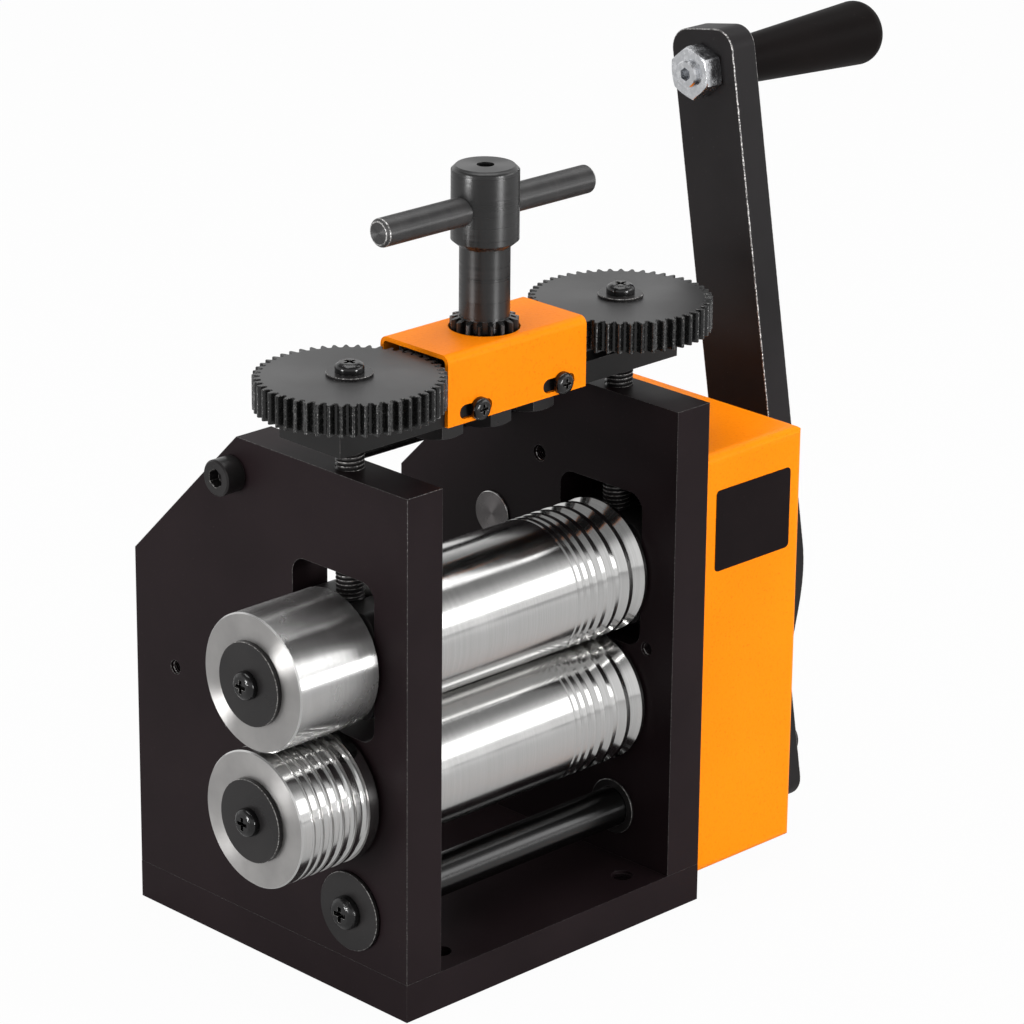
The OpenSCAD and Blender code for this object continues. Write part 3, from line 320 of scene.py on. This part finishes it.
def ground_steel(name, roughness, sheen):
    """Ground roll steel: fine rings round the barrel, satin on the turned end faces."""
    material, tree, shader = new_material(name, (0.55, 0.55, 0.54), roughness, 1.0)
    rings = noise(tree, object_place(tree, (4200, 2, 2)), 1)
    haze = noise(tree, object_place(tree, (60, 40, 40)), 1, detail=4)
    end = facing_along(tree, "X")
    barrel = blend_colours(tree, spread(tree, rings, 0, 1), (0.52, 0.517, 0.51),
                           (0.585, 0.582, 0.575))
    smudge = noise(tree, object_place(tree), 55, detail=4)
    face = blend_colours(tree, spread(tree, smudge, 0, 1), (0.37, 0.36, 0.355),
                         (0.46, 0.45, 0.44))
    tree.links.new(blend_colours(tree, end, barrel, face), shader.inputs["Base Color"])
    blend_roughness(tree, shader, end, spread(tree, haze, roughness - 0.02, roughness + 0.03),
                    spread(tree, smudge, 0.28, 0.34))
    turned_sheen(tree, shader, "X", sheen)
    add_bump(tree, shader, rings, 0.05, GROUND_MARKS)
    return material


def bare_metal(name, first, second, roughness, scale=120, bump=0.15, turned=None):
    """Machined or plated metal with a mottled sheen."""
    material, tree, shader = new_material(name, first, roughness, 1.0)
    place = object_place(tree)
    mottle = noise(tree, place, scale, detail=4)
    tree.links.new(blend_colours(tree, spread(tree, mottle, 0, 1), first, second),
                   shader.inputs["Base Color"])
    tree.links.new(spread(tree, mottle, roughness - 0.06, roughness + 0.1),
                   shader.inputs["Roughness"])
    if turned:
        turned_sheen(tree, shader, turned, 1.0)
    add_bump(tree, shader, noise(tree, place, 1800, detail=2), bump, TOOL_MARKS)
    return material


def orange_coat():
    """Powder coat with its fine orange-peel grain."""
    first, second = (0.96, 0.234, 0.001), (0.99, 0.262, 0.002)
    material, tree, shader = new_material("orange_coat", first, 0.42, 0.0, 0.07)
    place = object_place(tree)
    blotch = noise(tree, place, 14)
    base = blend_colours(tree, spread(tree, blotch, 0, 1), first, second)
    speck = noise(tree, place, 850, rough=0.7)
    base = blend_colours(tree, spread(tree, speck, 0, 0.5, 0.54, 0.74), base, (0.78, 0.11, 0.001))
    tree.links.new(base, shader.inputs["Base Color"])
    tree.links.new(spread(tree, blotch, 0.38, 0.46), shader.inputs["Roughness"])
    add_bump(tree, shader, noise(tree, place, 720), 0.8, ORANGE_PEEL)
    return material


COAT = satin_black("black_coat", (0.009, 0.005, 0.006), (0.012, 0.007, 0.0082),
                   roughness=0.42, grain=0.12, specular=0.085)
# Edge materials: rubbed-through specks that also paint a highlight along the rounded edges
COAT_EDGE = worn_edge_with_highlight("black_coat_edge", (0.02, 0.018, 0.018), (0.2, 0.19, 0.185),
                      start=0.48, end=0.68)
OXIDE = satin_black("black_oxide", (0.01, 0.0092, 0.0095), (0.017, 0.0155, 0.0155),
                    roughness=0.3, grain=0.1, specular=0.24)
# Painted edge highlight with rubbed-through specks
OXIDE_EDGE = worn_edge_with_highlight("black_oxide_edge", (0.04, 0.038, 0.037), (0.34, 0.33, 0.32),
                       start=0.45, end=0.62)
GEAR = gear_black("gear_black", "Z")
GEAR_X = gear_black("gear_black_cross", "X")
SCREW = satin_black("screw_black", (0.0035, 0.0032, 0.0035), (0.007, 0.0067, 0.0067),
                    roughness=0.17, grain=0.08, specular=0.42)
BRIDGE = satin_black("bridge_black", (0.008, 0.0077, 0.0077), (0.013, 0.0124, 0.0124),
                     roughness=0.4, grain=0.25, specular=0.16)
# Painted highlight on the tooth edges, with rubbed-through specks
GEAR_EDGE = worn_edge_with_highlight("gear_edge", (0.018, 0.018, 0.018), (0.24, 0.235, 0.23),
                      start=0.52, end=0.68)
ARM = satin_black("arm_black", (0.0095, 0.0085, 0.009), (0.014, 0.0125, 0.0133),
                  roughness=0.46, grain=0.35, specular=0.12)
# Painted edge highlight with rubbed-through specks
ARM_EDGE = worn_edge_with_highlight("arm_edge", (0.03, 0.028, 0.028), (0.42, 0.41, 0.4), start=0.46, end=0.6)
TURNED_Z = turned_black("spindle_steel", "Z", (0.0025, 0.0024, 0.0025), (0.0045, 0.0043, 0.0044),
                        roughness=0.34, specular=0.56, marks=0.45, vary=0.07, sheen=0.55)
TURNED_X = turned_black("bar_steel", "X", (0.022, 0.0215, 0.022), (0.034, 0.033, 0.033),
                        roughness=0.42, specular=0.42, marks=0.1, vary=0.07)
# Painted highlight on the bar's chamfers, with rubbed-through specks
BAR_EDGE = worn_edge_with_highlight("bar_edge", (0.08, 0.078, 0.076), (0.5, 0.49, 0.48), start=0.42, end=0.62)
SHAFT = turned_black("shaft_steel", "X", (0.0012, 0.0011, 0.0011), (0.002, 0.0019, 0.0019),
                     roughness=0.2, specular=0.6, marks=0.01, vary=0.015)
ROLL = ground_steel("roll_steel", roughness=0.15, sheen=0.75)
SIDE_ROLL = ground_steel("side_roll_steel", roughness=0.25, sheen=1.0)
ZINC = bare_metal("zinc_plate", (0.56, 0.57, 0.59), (0.68, 0.69, 0.71),
                  roughness=0.2, scale=420, bump=0.08)
BRIGHT = bare_metal("bright_steel", (0.1, 0.094, 0.094), (0.16, 0.15, 0.15),
                    roughness=0.28, scale=90, turned="X")
# Painted highlight: much brighter than the steel itself, for rims, chamfers and thread rows
BRIGHT_EDGE = bare_metal("bright_edge_highlight", (0.66, 0.65, 0.64), (0.82, 0.81, 0.8), roughness=0.25)
BRONZE = bare_metal("bush_bronze", (0.4, 0.26, 0.1), (0.55, 0.37, 0.15),
                    roughness=0.38, scale=200)
ORANGE = orange_coat()
GRIP = satin_black("grip_black", (0.0058, 0.0046, 0.0045), (0.0078, 0.006, 0.0058),
                   roughness=0.5, grain=0.1, specular=0.03)
LABEL = satin_black("label_black", (0.0065, 0.0045, 0.005), (0.009, 0.006, 0.0065),
                    roughness=0.3, grain=0.05, specular=0.04)

FINISH = {
    COAT: ["base_plate", "near_side_plate", "far_side_plate"],
    OXIDE: [
        "plate_bolts", "tie_rod_screws", "idler_nuts", "near_gear_washer", "far_gear_washer",
        "spindle_nut", "bar_set_screw", "near_bearing_block", "far_bearing_block",
        "upper_side_washer", "lower_side_washer", "upper_gear_fastener",
        "lower_gear_fastener", "drive_shaft_washer", "crank_fastener",
        "near_adjusting_screw", "far_adjusting_screw", "drive_bushes",
    ],
    SCREW: [
        "cover_screws", "bracket_screws", "near_gear_screw", "far_gear_screw",
        "upper_side_screw", "lower_side_screw", "drive_shaft_screw",
    ],
    GEAR: ["near_adjusting_gear", "far_adjusting_gear", "near_idler_gear", "far_idler_gear"],
    GEAR_X: ["upper_coupling_gear", "lower_coupling_gear", "main_gear", "drive_pinion"],
    ARM: ["crank_arm"],
    BRIDGE: ["cross_plate"],
    TURNED_Z: ["handle_spindle"],
    TURNED_X: ["cross_bar"],
    SHAFT: ["drive_shaft", "tie_rod"],
    ROLL: ["upper_roll", "lower_roll", "lower_side_roll"],
    SIDE_ROLL: ["upper_side_roll"],
    ZINC: ["grip_stud", "grip_nut"],
    BRIGHT: ["cover_posts", "idler_pins"],
    BRONZE: ["near_lower_bush", "far_lower_bush", "near_upper_bush", "far_upper_bush"],
    ORANGE: ["gear_cover", "handle_bracket"],
    GRIP: ["handle_grip"],
}


def paint(obj, *materials):
    """Gives an object these materials in place of its own."""
    obj.data.materials.clear()
    for material in materials:
        obj.data.materials.append(material)


for finish, names in FINISH.items():
    for name in names:
        cad = nodes[name]
        for slot in cad.material_slots:
            slot.material = finish
        if not cad.material_slots:
            cad.data.materials.append(finish)

FINISH_OF = {name: finish for finish, names in FINISH.items() for name in names}
BODY_OF = {n: b for b, members in frame["record"]["behaviour"]["bodies"].items() for n in members}


# Pieces


def place_piece(mesh, name, body):
    """Links a mesh to the scene as a piece of the object."""
    piece = bpy.data.objects.new(name, mesh)
    bpy.context.scene.collection.objects.link(piece)
    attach(piece, body)
    return piece


def soften(node, width, edge, segments=2, least=BEVEL_LEAST, smooth=SMOOTH_ANGLE, change=None):
    """Replaces a node by a copy with slightly rounded edges in the edge material, which mostly
    holds rubbed specks and a painted highlight.
    """
    mesh = nodes[node].data.copy()
    mesh.materials.clear()
    mesh.materials.append(FINISH_OF[node])
    mesh.materials.append(edge)
    form = bmesh.new()
    form.from_mesh(mesh)
    bmesh.ops.remove_doubles(form, verts=form.verts, dist=WELD)
    bmesh.ops.dissolve_limit(form, angle_limit=FLAT_ANGLE, verts=form.verts, edges=form.edges)
    for face in form.faces:
        face.material_index = 0
        face.smooth = True
    if change:
        change(form)
    sharp = [e for e in form.edges
             if len(e.link_faces) == 2 and e.calc_face_angle(0) > math.radians(least)]
    bmesh.ops.bevel(form, geom=sharp, offset=width, offset_type="OFFSET", segments=segments,
                    profile=0.5, affect="EDGES", clamp_overlap=True, material=1,
                    miter_outer="ARC")
    for face in form.faces:
        face.smooth = True
    form.to_mesh(mesh)
    form.free()
    mesh.set_sharp_from_angle(angle=smooth)
    piece = place_piece(mesh, node + "_finished", BODY_OF[node])
    weighted = piece.modifiers.new("flat_faces", "WEIGHTED_NORMAL")
    weighted.keep_sharp = True
    weighted.weight = 100
    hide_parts(node)
    return piece


def thread_rows(low, high, pitch, depth, sides):
    """Rows of a thread, each with a (place along the axis, radius change) for every side."""
    steps = len(THREAD_SHAPE)
    count = int((high - low) / pitch * steps) + steps
    rows = []
    for i in range(count + 1):
        row = []
        for j in range(sides):
            raw = low + pitch * (i / steps - 1 + j / sides)
            along = min(max(raw, low), high)
            runout = min(1.0, (along - low) / pitch, (high - along) / pitch)
            row.append((along, -depth * THREAD_SHAPE[i % steps] * max(0.0, runout)))
        rows.append(row)
    return rows


def helical_skin(form, axis, centre, radius, low, high, pitch, depth, sides, worn_glint_row=0):
    """Adds the skin of a thread about an axis. centre holds the other two coordinates, and the
    last argument is the row of each turn that takes the edge material: rubbed bare steel and a
    painted thread glint."""
    steps = len(THREAD_SHAPE)
    rings = []
    for row in thread_rows(low, high, pitch, depth, sides):
        ring = []
        for j, (along, change) in enumerate(row):
            turn = 2 * math.pi * j / sides
            u = centre[0] + (radius + change) * math.cos(turn)
            v = centre[1] + (radius + change) * math.sin(turn)
            ring.append(form.verts.new((along, u, v) if axis == "X" else (u, v, along)))
        rings.append(ring)
    for i, (first, second) in enumerate(zip(rings, rings[1:])):
        for j in range(sides - 1):
            face = form.faces.new((first[j], first[j + 1], second[j + 1], second[j]))
            # Painted thread glint: one row of each turn takes the edge material
            face.material_index = 1 if i % steps == worn_glint_row else 0
    for i in range(len(rings) - steps - 1):
        form.faces.new((rings[i][sides - 1], rings[i + steps][0], rings[i + steps + 1][0],
                        rings[i + 1][sides - 1]))


def cut_thread(node):
    """Gives an adjusting screw its thread between its neck and the bridge."""
    low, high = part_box(node)
    centre = ((low[0] + high[0]) / 2, (low[1] + high[1]) / 2)

    def on_wall(face):
        """Whether a face is a tall strip of the cylinder that takes the thread."""
        heights = [v.co.z for v in face.verts]
        off = [abs(math.hypot(v.co.x - centre[0], v.co.y - centre[1]) - SCREW_RADIUS)
               for v in face.verts]
        return max(off) < RADIUS_SLACK and max(heights) - min(heights) > SCREW_WALL

    def change(form):
        wall = [f for f in form.faces if on_wall(f)]
        ends = [v.co.z for f in wall for v in f.verts]
        bmesh.ops.delete(form, geom=wall, context="FACES")
        # The crest row of each turn takes the edge specks: rubbed steel and a painted thread
        # highlight
        helical_skin(form, "Z", centre, SCREW_RADIUS, min(ends), max(ends), SCREW_PITCH,
                     SCREW_DEPTH, SCREW_SIDES)

    soften(node, FINE_EDGE, OXIDE_EDGE, segments=1, least=60, change=change)


def tap_hole(name, axis, centre, radius, low, high, node, worn_glint_row):
    """The thread inside a tapped hole of a node. Sizes and places are in millimetres."""
    form = bmesh.new()
    helical_skin(form, axis, (centre[0] * MM, centre[1] * MM), radius * MM - HOLE_CLEAR, low * MM,
                 high * MM, HOLE_PITCH, HOLE_DEPTH, HOLE_SIDES, worn_glint_row)
    mesh = bpy.data.meshes.new(name)
    mesh.materials.append(COAT)
    mesh.materials.append(BRIGHT_EDGE)
    form.to_mesh(mesh)
    form.free()
    place_piece(mesh, name, BODY_OF[node])


def label_plate():
    """Blank plate with rounded corners on the front of the gear cover."""
    front_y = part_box("gear_cover")[0][1]
    left, right = LABEL_X[0] + LABEL_CORNER, LABEL_X[1] - LABEL_CORNER
    bottom, top = LABEL_Z[0] + LABEL_CORNER, LABEL_Z[1] - LABEL_CORNER
    outline = []
    for x, z, start in ((right, top, 0), (left, top, 90), (left, bottom, 180),
                        (right, bottom, 270)):
        for i in range(LABEL_STEPS + 1):
            turn = math.radians(start + 90 * i / LABEL_STEPS)
            outline.append((x + LABEL_CORNER * math.cos(turn), z + LABEL_CORNER * math.sin(turn)))
    form = bmesh.new()
    back = [form.verts.new((x, front_y, z)) for x, z in outline]
    front = [form.verts.new((x, front_y - LABEL_THICK, z)) for x, z in outline]
    count = len(outline)
    for i in range(count):
        j = (i + 1) % count
        form.faces.new((back[i], back[j], front[j], front[i]))
    form.faces.new(front)
    form.faces.new(back[::-1])
    rim = [e for e in form.edges if all(v in front for v in e.verts)]
    bmesh.ops.bevel(form, geom=rim, offset=LABEL_ROUND, segments=2, profile=0.5, affect="EDGES")
    bmesh.ops.recalc_face_normals(form, faces=form.faces)
    mesh = bpy.data.meshes.new("label_plate")
    form.to_mesh(mesh)
    form.free()
    piece = place_piece(mesh, "label_plate", BODY_OF["gear_cover"])
    paint(piece, LABEL)


# The edge materials below paint a highlight on the rounded edges, among rubbed-through specks
for name in ("base_plate", "near_side_plate", "far_side_plate"):
    soften(name, EDGE, COAT_EDGE)
soften("crank_arm", EDGE, ARM_EDGE)
soften("cross_plate", EDGE, COAT_EDGE)
for name in ("gear_cover", "handle_bracket"):
    soften(name, FINE_EDGE, ORANGE)
for name in ("near_adjusting_gear", "far_adjusting_gear", "near_idler_gear", "far_idler_gear"):
    soften(name, FINE_EDGE, GEAR_EDGE, segments=1, least=40)
for name in ("near_gear_washer", "far_gear_washer", "upper_side_washer", "lower_side_washer",
             "drive_shaft_washer", "idler_nuts", "tie_rod_screws", "crank_fastener",
             "handle_spindle", "drive_bushes"):
    soften(name, FINE_EDGE, OXIDE_EDGE, segments=1, least=50)
for name in ("near_gear_screw", "far_gear_screw", "upper_side_screw", "lower_side_screw",
             "drive_shaft_screw", "bracket_screws", "cover_screws"):
    soften(name, SCREW_ROUND, OXIDE_EDGE, segments=1, least=60, smooth=DOME_ANGLE)
soften("cross_bar", BAR_ROUND, BAR_EDGE, least=30)
# The posts' rims take a painted highlight
posts = soften("cover_posts", FINE_EDGE, BRIGHT_EDGE, segments=1, least=50)
posts.data.use_auto_texspace = False
posts.data.texspace_location = POSTS_MIDDLE
posts.data.texspace_size = POSTS_REACH
# The nut's chamfers take a painted highlight
soften("grip_nut", FINE_EDGE, BRIGHT_EDGE, segments=1, least=30)
for name in ("near_adjusting_screw", "far_adjusting_screw"):
    cut_thread(name)
for hole in TAPPED_HOLES:
    tap_hole(*hole)
label_plate()


# Studio


def make_camera():
    """Camera at the photograph's place, with its roll."""
    azimuth = math.radians(CAMERA_AZIMUTH)
    elevation = math.radians(CAMERA_ELEVATION)
    roll = math.radians(CAMERA_ROLL)
    back = Vector((math.sin(azimuth) * math.cos(elevation),
                   -math.cos(azimuth) * math.cos(elevation), math.sin(elevation)))
    level = Vector((0, 0, 1)).cross(back).normalized()
    upright = back.cross(level)
    right = math.cos(roll) * level + math.sin(roll) * upright
    up = math.cos(roll) * upright - math.sin(roll) * level
    data = bpy.data.cameras.new("camera")
    data.lens = CAMERA_LENS
    data.sensor_width = CAMERA_SENSOR
    data.clip_start, data.clip_end = CAMERA_CLIP
    camera = bpy.data.objects.new("camera", data)
    turn = Matrix((right, up, back)).transposed().to_4x4()
    camera.matrix_world = Matrix.Translation(CAMERA_PLACE) @ turn
    bpy.context.scene.collection.objects.link(camera)
    bpy.context.scene.camera = camera


def soft_light(name, azimuth, elevation, distance, width, height, radiance):
    """A rectangular softbox that faces the middle of the object."""
    middle = (cad_low + cad_high) / 2
    turn, lift = math.radians(azimuth), math.radians(elevation)
    direction = Vector((math.sin(turn) * math.cos(lift), -math.cos(turn) * math.cos(lift),
                        math.sin(lift)))
    data = bpy.data.lights.new(name, "AREA")
    data.shape = "RECTANGLE"
    data.size = width
    data.size_y = height
    data.energy = radiance * math.pi * width * height
    light = bpy.data.objects.new(name, data)
    light.location = middle + direction * distance
    light.rotation_mode = "QUATERNION"
    light.rotation_quaternion = direction.to_track_quat("Z", "Y")
    bpy.context.scene.collection.objects.link(light)


def seen_share(tree, seen, mirrored):
    """How much of the plain background a ray sees: camera rays, then rays off metal or glass."""
    path = tree.nodes.new("ShaderNodeLightPath")
    shares = []
    for output, share in (("Is Camera Ray", seen), ("Is Glossy Ray", mirrored),
                          ("Is Transmission Ray", mirrored)):
        node = tree.nodes.new("ShaderNodeMath")
        node.operation = "MULTIPLY"
        tree.links.new(path.outputs[output], node.inputs[0])
        if isinstance(share, float):
            node.inputs[1].default_value = share
        else:
            tree.links.new(share, node.inputs[1])
        shares.append(node.outputs["Value"])
    total = shares[0]
    for share in shares[1:]:
        node = tree.nodes.new("ShaderNodeMath")
        node.operation = "MAXIMUM"
        tree.links.new(total, node.inputs[0])
        tree.links.new(share, node.inputs[1])
        total = node.outputs["Value"]
    return total


def make_floor():
    """Large pale floor, white to the camera with a faint shadow under the object."""
    mesh = bpy.data.meshes.new("floor")
    corners = [(-FLOOR_HALF, -FLOOR_HALF, 0), (FLOOR_HALF, -FLOOR_HALF, 0),
               (FLOOR_HALF, FLOOR_HALF, 0), (-FLOOR_HALF, FLOOR_HALF, 0)]
    mesh.from_pydata(corners, [], [(0, 1, 2, 3)])
    floor = bpy.data.objects.new("floor", mesh)
    bpy.context.scene.collection.objects.link(floor)
    material, tree, shader = new_material("floor_white", FLOOR_BASE, 0.9, 0.0, 0.0)
    glow = tree.nodes.new("ShaderNodeEmission")
    glow.inputs["Color"].default_value = WHITE
    glow.inputs["Strength"].default_value = 1.0
    mix = tree.nodes.new("ShaderNodeMixShader")
    tree.links.new(seen_share(tree, FLOOR_SEEN, FLOOR_MIRRORED), mix.inputs["Fac"])
    tree.links.new(shader.outputs["BSDF"], mix.inputs[1])
    tree.links.new(glow.outputs["Emission"], mix.inputs[2])
    tree.links.new(mix.outputs["Shader"], tree.nodes["Material Output"].inputs["Surface"])
    paint(floor, material)


def make_world():
    """Even studio light with a darker ceiling, plain white to the camera."""
    world = bpy.data.worlds.new("studio")
    world.use_nodes = True
    tree = world.node_tree
    tree.nodes.clear()
    out = tree.nodes.new("ShaderNodeOutputWorld")
    place = tree.nodes.new("ShaderNodeTexCoord")
    split = tree.nodes.new("ShaderNodeSeparateXYZ")
    tree.links.new(place.outputs["Generated"], split.inputs["Vector"])
    low_down = spread(tree, split.outputs["Z"], 1.0, CEILING, CEILING_STARTS, CEILING_FULL)
    seen = tree.nodes.new("ShaderNodeBackground")
    seen.inputs["Color"].default_value = WHITE
    lit = tree.nodes.new("ShaderNodeBackground")
    lit.inputs["Color"].default_value = WHITE
    path = tree.nodes.new("ShaderNodeLightPath")
    level = tree.nodes.new("ShaderNodeMix")
    tree.links.new(path.outputs["Is Glossy Ray"], level.inputs["Factor"])
    level.inputs["A"].default_value = SKY_LIGHT
    tree.links.new(low_down, level.inputs["B"])
    tree.links.new(level.outputs["Result"], lit.inputs["Strength"])
    mix = tree.nodes.new("ShaderNodeMixShader")
    tree.links.new(seen_share(tree, 1.0, low_down), mix.inputs["Fac"])
    tree.links.new(lit.outputs["Background"], mix.inputs[1])
    tree.links.new(seen.outputs["Background"], mix.inputs[2])
    tree.links.new(mix.outputs["Shader"], out.inputs["Surface"])
    bpy.context.scene.world = world


make_camera()
make_floor()
make_world()
for softbox in SOFTBOXES:
    soft_light(*softbox)
bpy.context.scene.view_settings.view_transform = "Standard"
